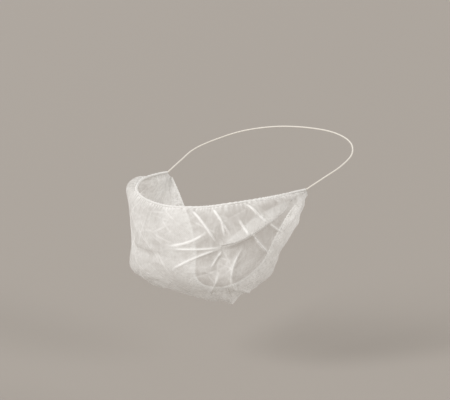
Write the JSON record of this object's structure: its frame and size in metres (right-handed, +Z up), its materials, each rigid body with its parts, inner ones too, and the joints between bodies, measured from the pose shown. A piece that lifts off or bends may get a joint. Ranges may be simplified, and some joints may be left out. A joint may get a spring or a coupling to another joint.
{
  "type": "beard net",
  "caption": "Worn beard cover: a see-through nonwoven pouch round the lower face with rolled elastic hems and a thin elastic that loops behind the head",
  "frame": {"origin": "the mount head_seat: the middle of the head opening, halfway between the two ear corners", "axes": "+Z up, the wearer faces -Y, the wearer's left is +X"},
  "size_m": [0.1542, 0.2203, 0.1255],
  "materials": {
    "nonwoven": "thin see-through spunbond, matt",
    "hem": "rolled spunbond, matt",
    "elastic": "thread-covered round elastic, matt off-white"
  },
  "bodies": {
    "root": {"beard_cover": "nonwoven", "upper_hem": "hem", "lower_hem": "hem", "head_elastic": "elastic"}
  },
  "joints": []
}
